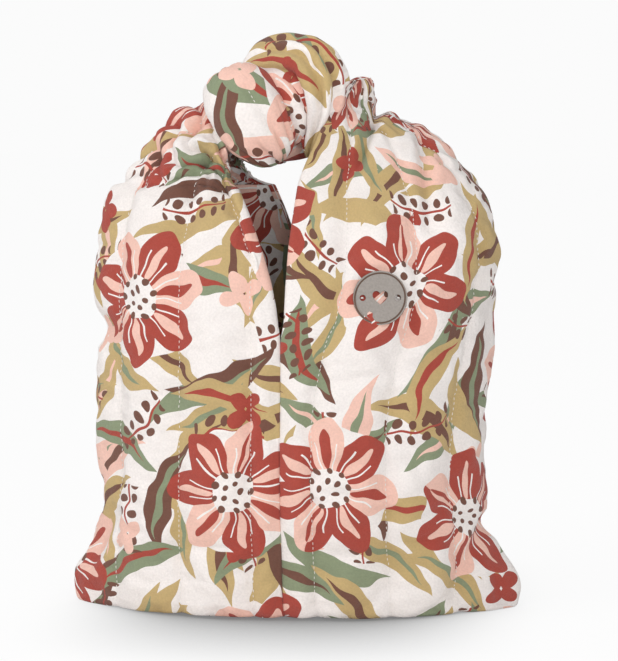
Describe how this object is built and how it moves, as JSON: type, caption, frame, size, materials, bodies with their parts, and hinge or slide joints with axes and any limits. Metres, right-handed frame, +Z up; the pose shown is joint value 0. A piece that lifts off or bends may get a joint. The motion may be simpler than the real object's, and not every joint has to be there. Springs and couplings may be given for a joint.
{
  "type": "japanese knot bag",
  "caption": "Quilted cotton knot bag with a V-shaped mouth, eared flat base, round sewn-on label and a long loop handle tied through a short one.",
  "frame": {"origin": "floor level under the middle of the base", "axes": "+Z up, -Y the front with the label, +X towards the side of the long handle"},
  "size_m": [0.236, 0.1182, 0.2995],
  "materials": {
    "printed_cotton": "matte printed quilted cotton",
    "lining_cotton": "matte printed cotton",
    "wadding": "soft fibre filling",
    "label_leather": "matte grey with a burnt edge",
    "thread": "white sewing thread"
  },
  "bodies": {
    "bag": {"left_outer_panel": "printed_cotton", "right_outer_panel": "printed_cotton", "left_wadding": "wadding", "right_wadding": "wadding", "left_lining": "lining_cotton", "right_lining": "lining_cotton", "label_disc": "label_leather", "label_thread_left": "thread", "label_thread_right": "thread"},
    "short_handle": {"short_handle_front_cover": "printed_cotton", "short_handle_front_wadding": "wadding", "short_handle_back_cover": "printed_cotton", "short_handle_back_wadding": "wadding"},
    "long_handle": {"long_handle_front_cover": "printed_cotton", "long_handle_front_wadding": "wadding", "long_handle_back_cover": "printed_cotton", "long_handle_back_wadding": "wadding"}
  },
  "joints": [
    {"name": "long_handle_flop", "type": "hinge", "parent": "bag", "child": "long_handle", "pos_m": [0.025, 0, 0.234], "axis": [1, 0, 0], "range_deg": [-30, 30]},
    {"name": "short_handle_flop", "type": "hinge", "parent": "bag", "child": "short_handle", "pos_m": [-0.056, 0, 0.234], "axis": [1, 0, 0], "range_deg": [-30, 30]}
  ],
  "couplings": [
    {"joint": "short_handle_flop", "follows": "long_handle_flop", "ratio": 1}
  ]
}
